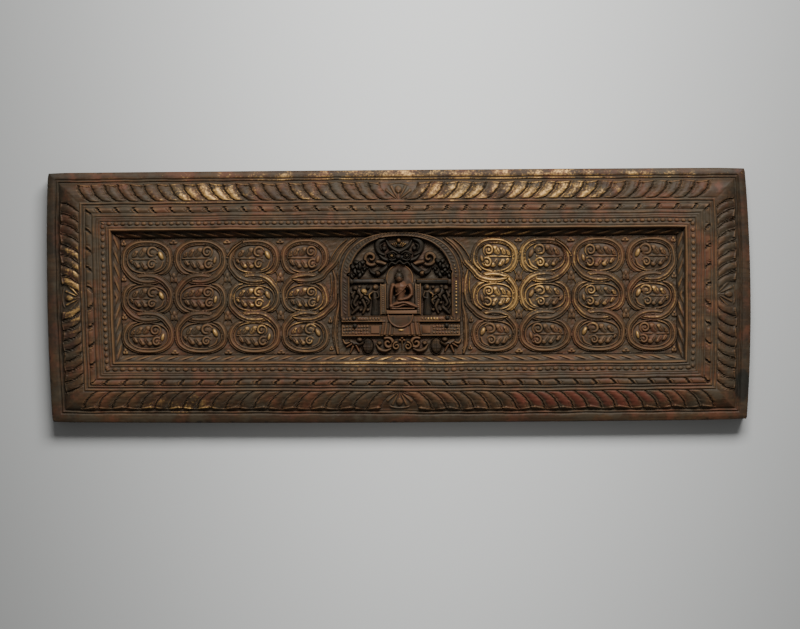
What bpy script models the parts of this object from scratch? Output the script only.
"""Carved wooden cover of a Tibetan manuscript, lying face up on its plain back.

The cover is one board. A rim and nested mouldings climb to the inner lip of the
frame, and the sunk panel holds eight columns of three scroll roundels, four on
each side of an arched shrine with a seated figure.

Lengths are in millimetres until a point is written to a mesh. +X runs along the
board to the viewer's right, +Y to its upper edge and +Z out of the carved face.
"""

import math

import bmesh
import bpy

MM = 0.001

# Board
LENGTH = 703.5
WIDTH = 252.8
SIDE_HEIGHT = 21.5
EDGE_ROUND = 1.2
CORNER_RADIUS = 2.5

# How far the hand-cut outline leaves a true rectangle
WIDTH_TAPER = 0.005
LEFT_TAPER = 0.0048
RIGHT_TAPER = -0.001
TOP_DRAW = 0.45
BOTTOM_DRAW = 1.75
LEFT_DRAW = 3.0
RIGHT_DRAW = 4.95

# The mouldings of the two ends are this much wider than those of the long sides
END_STRETCH = 1.1

# Steps of a smooth moulding along a long side and along an end
PLAIN_STEPS = (6, 4)

# Carved rows of the frame: how many leaves and lobes a long side and an end have,
# how far the leaves lean in pitches, and how high they stand over their grooves
LEAVES = (51, 23)
LOBES = (35, 9)
LEAF_MIDDLE = 22.0
LEAF_LEAN = 0.55
LEAF_CUT = 1.1
LEAF_EDGE_CUT = 0.3
LOBE_CUT = 0.8
LOBE_EDGE_CUT = 0.3

# Panel
GROUND = 20.0
PANEL_DISTANCE = 68.0

# Scroll roundels: where the columns stand, and the levels the bands pass
COLUMNS = (93.5, 144.5, 199.0, 252.5)
RING_HALF_WIDTH = 22.2
BAND_HALF_WIDTH = 2.9
CROSSING_HALF_WIDTH = 5.2
BAND_TOP = 24.4
BAND_END_TOP = 22.0
RING_TOP = 53.9
UPPER_ROW = 36.6
UPPER_CROSSING = 18.6
MIDDLE_ROW = -0.6
LOWER_CROSSING = -19.6
LOWER_ROW = -38.6
RING_BOTTOM = -55.6
CURL_CLOSING = 0.42

# Shrine
ARCH_INNER = (51.0, 45.5)
ARCH_OUTER = (60.0, 49.0)
ARCH_FULLNESS = 0.83
ARCH_CENTRE_X = 1.6
ARCH_CENTRE_Y = 14.7
ARCH_FOOT_Y = -19.8
ARCH_TOP = 28.5

SIDES = (-1, 1)


def hand_made(x, y):
    """Moves a point of the true rectangle to its place on the hand-cut board."""
    along = x / (LENGTH / 2)
    across = y / (WIDTH / 2)
    end_draw = RIGHT_DRAW if x > 0 else LEFT_DRAW
    taper = RIGHT_TAPER if x > 0 else LEFT_TAPER
    side_draw = TOP_DRAW if y > 0 else BOTTOM_DRAW
    moved_x = x * (1 + taper * across) - end_draw * along * abs(along) * across ** 2
    moved_y = y * (1 + WIDTH_TAPER * along) - side_draw * across * along ** 2
    return moved_x, moved_y


def outline_middle():
    """Middle of the box around the hand-cut outline."""
    steps = [i / 50 for i in range(-50, 51)]
    edge = [hand_made(t * LENGTH / 2, s * WIDTH / 2) for t in steps for s in SIDES]
    edge += [hand_made(s * LENGTH / 2, t * WIDTH / 2) for t in steps for s in SIDES]
    xs = [p[0] for p in edge]
    ys = [p[1] for p in edge]
    return (min(xs) + max(xs)) / 2, (min(ys) + max(ys)) / 2


MIDDLE = outline_middle()


def place(x, y, z):
    """World place in metres of a point of the true board."""
    moved_x, moved_y = hand_made(x, y)
    return (moved_x - MIDDLE[0]) * MM, (moved_y - MIDDLE[1]) * MM, z * MM


def clear_scene():
    for item in list(bpy.data.objects):
        bpy.data.objects.remove(item)


def wood(name, colour, roughness):
    material = bpy.data.materials.new(name)
    material.use_nodes = True
    shader = material.node_tree.nodes["Principled BSDF"]
    shader.inputs["Base Color"].default_value = (*colour, 1.0)
    shader.inputs["Roughness"].default_value = roughness
    shader.inputs["Metallic"].default_value = 0.0
    return material


def mesh_object(name, mesh_edit, collection):
    mesh = bpy.data.meshes.new(name)
    mesh_edit.to_mesh(mesh)
    mesh_edit.free()
    made = bpy.data.objects.new(name, mesh)
    collection.objects.link(made)
    return made


# Frame: closed loops around the board, each joined to the next one inward

def end_distance(distance):
    """Distance from the end that matches a distance from a long side."""
    return distance * END_STRETCH


def loop_point(side, t, distance, slide=0.0):
    """Point on the loop at a distance from the edge; t runs from -1 to 1 on a side."""
    half_x = LENGTH / 2 - end_distance(distance)
    half_y = WIDTH / 2 - distance
    run, off = (half_x, half_y) if side % 2 == 0 else (half_y, half_x)
    x, y = t * run + slide, -off
    for _ in range(side):
        x, y = -y, x
    return x, y


def plain_loop(distance, height):
    loop = []
    for side in range(4):
        steps = PLAIN_STEPS[side % 2]
        for step in range(steps):
            t = -1.0 + 2 * step / steps
            loop.append((side + step / steps, (*loop_point(side, t, distance), height)))
    return loop


def rounded_loop(distance, height):
    """Plain loop whose corners are rounded, for the outer edges."""
    pull = CORNER_RADIUS * (1 - math.sqrt(0.5))
    loop = []
    for side in range(4):
        half_run = (LENGTH if side % 2 == 0 else WIDTH) / 2
        cut = CORNER_RADIUS / half_run
        corner_x, corner_y = loop_point(side, -1.0, distance)
        corner = (corner_x - math.copysign(pull, corner_x), corner_y - math.copysign(pull, corner_y))
        loop.append((side, (*corner, height)))
        for t in (-1.0 + cut, -0.5, 0.0, 0.5, 1.0 - cut):
            loop.append((side + (t + 1) / 2, (*loop_point(side, t, distance), height)))
    return loop


def carved_loop(distance, height, counts, cut, lean=0.0):
    """Loop that rises on each leaf or lobe and falls between them."""
    loop = []
    for side in range(4):
        count = counts[side % 2]
        pitch = (LENGTH if side % 2 == 0 else WIDTH) / count
        for step in range(2 * count):
            t = -1.0 + step / count
            crest = 1 if step % 2 else -1
            to_corner = (1 - abs(t)) * count / 2
            room = min(1.0, to_corner / 2, abs(t) * count / 2)
            level = t * (distance - LEAF_MIDDLE) * min(1.0, to_corner / 4)
            slide = math.copysign(room, t) * lean * pitch + level
            point = loop_point(side, t, distance, slide)
            loop.append((side + (t + 1) / 2, (*point, height + crest * cut)))
    return loop


def frame_loops():
    """Loops of the board from the edge of its back to the edge of the sunk panel."""
    loops = [
        rounded_loop(EDGE_ROUND, 0.0),
        rounded_loop(0.0, EDGE_ROUND),
        rounded_loop(0.0, SIDE_HEIGHT - EDGE_ROUND),
        rounded_loop(EDGE_ROUND, SIDE_HEIGHT),
    ]
    rim_and_bead = ((7.6, 23.0), (8.5, 22.0), (10.0, 23.7), (11.5, 22.2))
    loops += [plain_loop(*step) for step in rim_and_bead]
    leaf_rows = (
        (12.4, 23.6, LEAF_EDGE_CUT, LEAF_LEAN),
        (LEAF_MIDDLE, 27.4, LEAF_CUT, 0.0),
        (30.8, 29.0, LEAF_EDGE_CUT, -LEAF_LEAN),
    )
    loops += [carved_loop(d, z, LEAVES, cut, lean) for d, z, cut, lean in leaf_rows]
    fillet = ((31.6, 28.8), (32.8, 30.4), (34.4, 29.6))
    loops += [plain_loop(*step) for step in fillet]
    loops += [carved_loop(36.2, 30.6, LOBES, LOBE_CUT), carved_loop(42.0, 31.1, LOBES, LOBE_EDGE_CUT)]
    lines = ((43.2, 31.1), (44.8, 32.3), (46.5, 31.4), (48.0, 32.3), (50.0, 32.3), (51.2, 31.3))
    pearl_bead = ((52.2, 32.6), (54.2, 32.6), (55.3, 31.4))
    lip = ((56.8, 32.4), (57.9, 31.6), (59.3, 33.0), (61.0, 29.2))
    slope = ((64.4, 26.0), (67.4, 21.6), (PANEL_DISTANCE, GROUND))
    loops += [plain_loop(*step) for step in lines + pearl_bead + lip + slope]
    return loops


def join_loops(mesh_edit, outer, inner):
    """Triangles between two closed loops, taken in step with their places around."""
    def middle(loop, step):
        if step >= len(loop):
            return 4.0
        after = loop[step + 1][0] if step + 1 < len(loop) else 4.0
        return (loop[step][0] + after) / 2

    outer_step = inner_step = 0
    while outer_step < len(outer) or inner_step < len(inner):
        a = outer[outer_step % len(outer)][1]
        b = inner[inner_step % len(inner)][1]
        if middle(outer, outer_step) <= middle(inner, inner_step) and outer_step < len(outer):
            outer_step += 1
            mesh_edit.faces.new((a, outer[outer_step % len(outer)][1], b))
        else:
            inner_step += 1
            mesh_edit.faces.new((a, inner[inner_step % len(inner)][1], b))


def carved_board(collection):
    mesh_edit = bmesh.new()
    loops = []
    for loop in frame_loops():
        loops.append([(around, mesh_edit.verts.new(place(*point))) for around, point in loop])
    for outer, inner in zip(loops, loops[1:]):
        join_loops(mesh_edit, outer, inner)
    mesh_edit.faces.new([vert for _, vert in reversed(loops[0])])
    mesh_edit.faces.new([vert for _, vert in loops[-1]])
    return mesh_object("carved_board", mesh_edit, collection)


# Raised carving: closed solids that the board is joined with

def raised(solid):
    """Keeps a solid as a guide that only the board's union shows."""
    solid.hide_render = True
    solid.display_type = "WIRE"
    return solid


def loft(name, sections, collection):
    """Closed solid through sections with the same number of points."""
    mesh_edit = bmesh.new()
    rings = [[mesh_edit.verts.new(place(*point)) for point in section] for section in sections]
    for low, high in zip(rings, rings[1:]):
        for i, vert in enumerate(low):
            j = (i + 1) % len(low)
            mesh_edit.faces.new((vert, low[j], high[j], high[i]))
    mesh_edit.faces.new(list(reversed(rings[0])))
    mesh_edit.faces.new(rings[-1])
    bmesh.ops.recalc_face_normals(mesh_edit, faces=mesh_edit.faces[:])
    return raised(mesh_object(name, mesh_edit, collection))


def ridge(name, path, half_widths, tops, collection, flat=0.0):
    """Raised band along a path, sharp on top or flat over a part of its width."""
    sections = []
    for i, (x, y) in enumerate(path):
        before, after = path[max(i - 1, 0)], path[min(i + 1, len(path) - 1)]
        run_x, run_y = after[0] - before[0], after[1] - before[1]
        size = math.hypot(run_x, run_y)
        side_x, side_y = -run_y / size, run_x / size
        top = ((flat, tops[i]), (-flat, tops[i])) if flat else ((0.0, tops[i]),)
        marks = ((1, GROUND), *top, (-1, GROUND))
        sections.append([(x + side_x * k * half_widths[i], y + side_y * k * half_widths[i], z)
                         for k, z in marks])
    return loft(name, sections, collection)


def tapered(path, half_width, top, end_width=0.5, end_top=0.6):
    """Widths and heights of a band that thins and sinks at both ends."""
    last = len(path) - 1
    widths, tops = [], []
    for i in range(last + 1):
        full = 0.0 if i in (0, last) else 1.0
        widths.append(half_width * (end_width + (1 - end_width) * full))
        tops.append(GROUND + (top - GROUND) * (end_top + (1 - end_top) * full))
    return widths, tops


def curl(name, x, y, radius, start, sweep, half_width, top, collection, steps=5):
    """Spiral band that winds in to its eye, from a start angle through a sweep."""
    path = []
    for i in range(steps):
        share = i / (steps - 1)
        reach = radius * (1 - CURL_CLOSING * share)
        angle = math.radians(start + sweep * share)
        path.append((x + reach * math.cos(angle), y + reach * math.sin(angle)))
    widths, tops = tapered(path, half_width, top)
    return ridge(name, path, widths, tops, collection)


def dome(name, x, y, half_x, half_y, top, collection, sides=6, foot=GROUND, turn=0.0):
    """Rounded boss with an oval foot."""
    sections = []
    rise = top - foot
    for reach, height in ((1.0, 0.0), (0.86, 0.5 * rise), (0.45, rise)):
        ring = []
        for i in range(sides):
            angle = 2 * math.pi * (i + 0.5) / sides
            px, py = reach * half_x * math.cos(angle), reach * half_y * math.sin(angle)
            cos_turn, sin_turn = math.cos(math.radians(turn)), math.sin(math.radians(turn))
            ring.append((x + px * cos_turn - py * sin_turn, y + px * sin_turn + py * cos_turn,
                         foot + height))
        sections.append(ring)
    return loft(name, sections, collection)


def slab(name, outline, top, collection, chamfer=0.8):
    """Flat raised piece with an even outline and a small chamfer around its top."""
    mid_x = sum(p[0] for p in outline) / len(outline)
    mid_y = sum(p[1] for p in outline) / len(outline)

    def drawn_in(p):
        out_x, out_y = p[0] - mid_x, p[1] - mid_y
        size = math.hypot(out_x, out_y)
        keep = (size - chamfer) / size
        return mid_x + out_x * keep, mid_y + out_y * keep

    sections = [
        [(*p, GROUND) for p in outline],
        [(*p, top - chamfer) for p in outline],
        [(*drawn_in(p), top) for p in outline],
    ]
    return loft(name, sections, collection)


def block(name, left, right, low, high, top, collection, chamfer=0.8):
    return slab(name, [(left, low), (right, low), (right, high), (left, high)], top, collection, chamfer)


def leaf(name, x, y, length, width, turn, top, collection):
    """Low pointed lobe, like a comma of a carved leaf."""
    corners = ((-0.5, 0.0), (-0.1, -0.5), (0.5, 0.0), (-0.1, 0.5))
    cos_turn, sin_turn = math.cos(math.radians(turn)), math.sin(math.radians(turn))
    mesh_edit = bmesh.new()
    foot = []
    for along, across in corners:
        px, py = along * length, across * width
        foot.append(mesh_edit.verts.new(place(x + px * cos_turn - py * sin_turn,
                                              y + px * sin_turn + py * cos_turn, GROUND)))
    tip = mesh_edit.verts.new(place(x, y, top))
    mesh_edit.faces.new(list(reversed(foot)))
    for i, corner in enumerate(foot):
        mesh_edit.faces.new((corner, foot[(i + 1) % len(foot)], tip))
    return raised(mesh_object(name, mesh_edit, collection))


# Scroll roundels

def upper_band_path():
    """Band round the top roundel that crosses under it and runs down the next one.

    Across is in ring half-widths, for a column whose crossings fall to the right.
    """
    return [
        (0.62, UPPER_CROSSING + 3.4), (0.94, UPPER_ROW - 8.0), (1.0, UPPER_ROW + 3.0),
        (0.72, RING_TOP - 3.8), (0.0, RING_TOP), (-0.72, RING_TOP - 3.8),
        (-1.0, UPPER_ROW + 3.0), (-0.94, UPPER_ROW - 8.0),
        (-0.6, UPPER_CROSSING + 3.0), (0.0, UPPER_CROSSING), (0.62, UPPER_CROSSING - 3.0),
        (1.0, UPPER_CROSSING - 11.0), (1.06, MIDDLE_ROW - 2.0), (0.96, LOWER_CROSSING + 9.0),
        (0.66, LOWER_CROSSING + 3.0),
    ]


def lower_band_path():
    """Band down the middle roundel that crosses under it and rounds the lowest one."""
    return [
        (-0.66, UPPER_CROSSING - 3.0), (-0.96, UPPER_CROSSING - 9.0), (-1.06, MIDDLE_ROW + 2.0),
        (-1.0, LOWER_CROSSING + 11.0), (-0.62, LOWER_CROSSING + 3.0), (0.0, LOWER_CROSSING),
        (0.6, LOWER_CROSSING - 3.0), (0.94, LOWER_ROW + 8.0), (1.0, LOWER_ROW - 3.0),
        (0.72, RING_BOTTOM + 3.8), (0.0, RING_BOTTOM), (-0.72, RING_BOTTOM + 3.8),
        (-1.0, LOWER_ROW - 3.0), (-0.94, LOWER_ROW + 8.0),
        (-0.62, LOWER_CROSSING - 3.4),
    ]


def scroll_column(name, x, falls, inward, collection):
    """Two interlaced bands and three leaves; inward points to the shrine."""
    for band, shape in (("upper", upper_band_path()), ("lower", lower_band_path())):
        path = [(x + falls * across * RING_HALF_WIDTH, y) for across, y in shape]
        widths = [CROSSING_HALF_WIDTH if across == 0.0 and abs(y) < UPPER_ROW else BAND_HALF_WIDTH
                  for across, y in shape]
        tops = [BAND_TOP] * len(path)
        tops[0] = tops[-1] = BAND_END_TOP
        ridge(f"{name}_{band}_band", path, widths, tops, collection)
    for row, y in enumerate((UPPER_ROW, MIDDLE_ROW, LOWER_ROW)):
        roundel_leaf(f"{name}_leaf_{row}", x, y, inward, collection)


def roundel_leaf(name, x, y, inward, collection):
    """Split leaf lying on its side, its two large curls towards the shrine."""
    for up in SIDES:
        start = 90.0 - inward * 90.0 - inward * up * 60.0
        curl(f"{name}_curl_{up}", x + inward * 6.8, y + up * 7.3, 5.1, start, inward * up * 290.0,
             2.0, 24.0, collection)
        leaf(f"{name}_lobe_{up}", x - inward * 7.0, y + up * 6.8, 12.0, 9.0, up * 90.0, 23.6, collection)


def scroll_panels(collection):
    for side in SIDES:
        for number, offset in enumerate(COLUMNS):
            falls = side if number % 2 == 0 else -side
            name = f"column_{'left' if side < 0 else 'right'}_{number}"
            scroll_column(name, side * offset, falls, -side, collection)
        stems = (
            ((47.5, 55.0), (56.0, 47.0), (66.5, 31.0), (73.5, 23.0), (81.0, 19.4)),
            ((65.6, 24.0), (65.0, 6.0), (66.4, -8.0), (72.6, -16.0), (81.0, -20.0)),
            ((64.6, -14.0), (64.0, -32.0), (66.0, -50.0)),
        )
        for number, stem in enumerate(stems):
            path = [(side * x, y) for x, y in stem]
            widths, tops = tapered(path, BAND_HALF_WIDTH, BAND_TOP, end_width=0.7)
            ridge(f"stem_{side}_{number}", path, widths, tops, collection)
        middles = [(a + b) / 2 for a, b in zip(COLUMNS, COLUMNS[1:])]
        for number, offset in enumerate(middles):
            for y in (UPPER_CROSSING, LOWER_CROSSING):
                leaf(f"bud_{side}_{number}_{y}", side * offset, y, 9.0, 6.0, 90.0, 22.6, collection)


# Shrine

def arch(collection):
    """Arch on two legs, a full oval whose crown lies over the foot of the frame's slope."""
    turn_steps = 12
    path = [(-1.0, None)]
    for i in range(turn_steps + 1):
        out, up = -math.cos(math.pi * i / turn_steps), math.sin(math.pi * i / turn_steps)
        path.append((math.copysign(abs(out) ** ARCH_FULLNESS, out), max(up, 0.0) ** ARCH_FULLNESS))
    path.append((1.0, None))
    marks = ((0.0, GROUND), (0.12, ARCH_TOP), (0.88, ARCH_TOP), (1.0, GROUND))
    sections = []
    for out, up in path:
        section = []
        for share, z in marks:
            half_x, half_y = (a + (b - a) * share for a, b in zip(ARCH_INNER, ARCH_OUTER))
            y = ARCH_FOOT_Y if up is None else ARCH_CENTRE_Y + half_y * up
            section.append((ARCH_CENTRE_X + out * half_x, y, z))
        sections.append(section)
    loft("arch", sections, collection)


def throne(collection):
    """Two tiers across the shrine, the cushion and the cloth that hangs over them."""
    block("throne_upper_tier", -58.0, 61.4, -25.9, -19.2, 26.8, collection)
    block("throne_lower_tier", -58.0, 61.4, -39.9, -27.1, 25.4, collection)
    skirt = [(-19.6, -39.0), (23.2, -39.0), (20.0, -19.0), (-16.4, -19.0)]
    slab("throne_skirt", skirt, 27.6, collection)
    half_round = [(1.4 + 12.6 * math.cos(math.radians(a)), -19.4 + 12.0 * math.sin(math.radians(a)))
                  for a in range(180, 361, 30)]
    slab("throne_cloth", half_round, 28.8, collection)
    block("cushion", -13.4, 18.8, -18.6, -12.4, 29.4, collection, chamfer=1.2)


def seated_figure(collection):
    """Calm seated figure: one arm hangs to the knee, the other hand rests in the lap."""
    dome("nimbus", 0.7, 17.4, 14.0, 14.0, 25.6, collection, sides=12)
    torso = [(2.2, -7.0), (2.2, -2.4), (2.3, 4.0), (2.4, 10.0), (2.0, 12.6), (0.9, 16.0)]
    ridge("figure_torso", torso, (8.4, 6.6, 7.6, 10.2, 8.6, 3.0), (30.2, 30.6, 31.4, 31.6, 31.0, 30.0),
          collection, flat=0.62)
    dome("figure_head", 0.35, 19.6, 4.6, 5.8, 33.0, collection, sides=8, foot=24.0)
    dome("figure_topknot", 0.35, 25.8, 2.7, 3.0, 31.4, collection, foot=24.0)
    hanging = [(-6.6, 11.4), (-8.2, 5.0), (-8.6, -3.0), (-8.4, -10.0)]
    ridge("figure_hanging_arm", hanging, (2.2, 2.4, 2.2, 1.9), (31.4, 31.9, 31.9, 31.4), collection)
    bent = [(10.0, 11.4), (12.0, 4.6), (9.6, -1.0), (2.0, -3.4)]
    ridge("figure_bent_arm", bent, (2.2, 2.4, 2.3, 2.0), (31.4, 31.9, 32.4, 32.6), collection)
    for knee_x, turn in ((0.4, 14.0), (10.6, -14.0)):
        dome(f"figure_knee_{turn}", knee_x, -8.2, 8.4, 4.2, 31.6, collection, turn=turn)


def guardian_face(collection):
    """Horned mask over the nimbus, with curled wings and a small haloed figure above."""
    dome("mask_cheeks", -0.2, 38.6, 15.0, 7.6, 26.6, collection, sides=10)
    dome("mask_nose", -0.2, 38.6, 2.8, 3.4, 29.4, collection)
    for side in SIDES:
        dome(f"mask_eye_{side}", side * 7.9, 40.8, 3.6, 3.4, 28.6, collection, sides=5)
        leaf(f"mask_jaw_{side}", side * 5.0, 33.0, 11.0, 4.5, side * 25.0, 28.0, collection)
        curl(f"wing_{side}", side * 18.0, 48.5, 7.0, 90.0, -side * 250.0, 2.2, 26.4, collection)
    dome("small_halo", -0.6, 52.4, 11.6, 7.6, 24.4, collection, sides=10)
    dome("small_figure", -0.2, 49.0, 5.2, 4.4, 26.4, collection)
    dome("small_head", -0.2, 54.6, 2.9, 3.2, 27.4, collection, sides=5)


def water_beasts(collection):
    """Spiral-tailed beasts on the crossbars beside the nimbus."""
    for side in SIDES:
        curl(f"beast_tail_{side}", side * 29.0, 38.5, 7.2, 200.0 if side > 0 else -20.0,
             -side * 420.0, 2.3, 26.8, collection, steps=9)
        body = [(side * 15.0, 29.0), (side * 21.0, 27.5), (side * 28.0, 26.5), (side * 34.0, 30.0)]
        ridge(f"beast_body_{side}", body, (2.6, 4.6, 4.4, 2.4), (25.4, 27.2, 26.8, 25.0), collection)
        dome(f"beast_head_{side}", side * 22.0, 23.6, 4.4, 3.2, 27.6, collection)
        plume = [(side * 39.0, 22.0), (side * 43.5, 26.0), (side * 42.5, 32.0), (side * 39.5, 36.0)]
        ridge(f"plume_{side}", plume, (3.6, 4.6, 3.8, 1.8), (25.6, 26.4, 25.8, 24.6), collection)
        middle = ARCH_CENTRE_X
        block(f"crossbar_{side}", *sorted((middle + side * 19.0, middle + side * 50.4)), 12.6, 18.0, 26.0,
              collection)
        block(f"pilaster_{side}", *sorted((middle + side * 15.6, middle + side * 20.4)), -18.4, 14.6, 26.0,
              collection)


def attendants(collection):
    """Standing attendants, and the climbing beasts that carry the crossbars."""
    for side in SIDES:
        middle = ARCH_CENTRE_X
        robe = [(middle + side * 26.4, -17.6), (middle + side * 26.2, -9.0), (middle + side * 26.4, 0.0),
                (middle + side * 26.6, 5.6)]
        ridge(f"attendant_robe_{side}", robe, (4.6, 4.0, 3.8, 2.4), (26.2, 26.8, 27.4, 26.6), collection)
        dome(f"attendant_head_{side}", middle + side * 27.0, 8.8, 2.9, 3.3, 28.2, collection, sides=5)
        back = [(side * 34.0, -9.0), (side * 37.6, -1.0), (side * 41.0, 6.0), (side * 45.5, 8.6)]
        ridge(f"climber_body_{side}", back, (2.8, 4.8, 4.4, 3.0), (25.6, 27.4, 27.6, 27.0), collection)
        for number, (top_x, foot_x) in enumerate(((37.0, 35.0), (44.0, 47.0))):
            leg = [(side * top_x, 0.0), (side * foot_x, -17.0)]
            ridge(f"climber_leg_{side}_{number}", leg, (2.4, 1.8), (26.2, 25.4), collection)


def base_figures(collection):
    """Row under the throne: lions, gridded shields and spiral-tailed beasts."""
    for side in SIDES:
        lion = [(side * 43.0, -55.6), (side * 47.0, -49.6), (side * 46.5, -43.6)]
        ridge(f"lion_body_{side}", lion, (4.8, 4.6, 3.6), (25.2, 26.4, 26.8), collection)
        leaf(f"lion_tail_{side}", side * 53.0, -48.0, 12.0, 4.0, 90.0, 24.6, collection)
        dome(f"shield_{side}", 3.0 + side * 34.1, -49.6, 5.4, 8.0, 26.4, collection)
        curl(f"coil_outer_{side}", 2.6 + side * 14.0, -47.4, 5.6, 90.0, side * 380.0, 2.0, 26.4,
             collection, steps=8)
        curl(f"coil_inner_{side}", 2.6 + side * 5.8, -50.0, 3.8, 90.0, -side * 330.0, 1.7, 25.8, collection)
        leaf(f"fan_{side}", side * 24.6, -50.0, 12.0, 7.6, 90.0, 25.4, collection)
    dome("trefoil", 1.4, -43.4, 3.4, 2.8, 25.6, collection, sides=5)


def main():
    clear_scene()
    scene_objects = bpy.context.scene.collection
    carving = bpy.data.collections.new("raised_carving")
    scene_objects.children.link(carving)

    board = carved_board(scene_objects)
    board.data.materials.append(wood("dark_carved_wood", (0.055, 0.028, 0.016), 0.55))

    scroll_panels(carving)
    arch(carving)
    throne(carving)
    seated_figure(carving)
    guardian_face(carving)
    water_beasts(carving)
    attendants(carving)
    base_figures(carving)

    union = board.modifiers.new("raised_carving", "BOOLEAN")
    union.operation = "UNION"
    union.solver = "EXACT"
    union.operand_type = "COLLECTION"
    union.collection = carving


main()
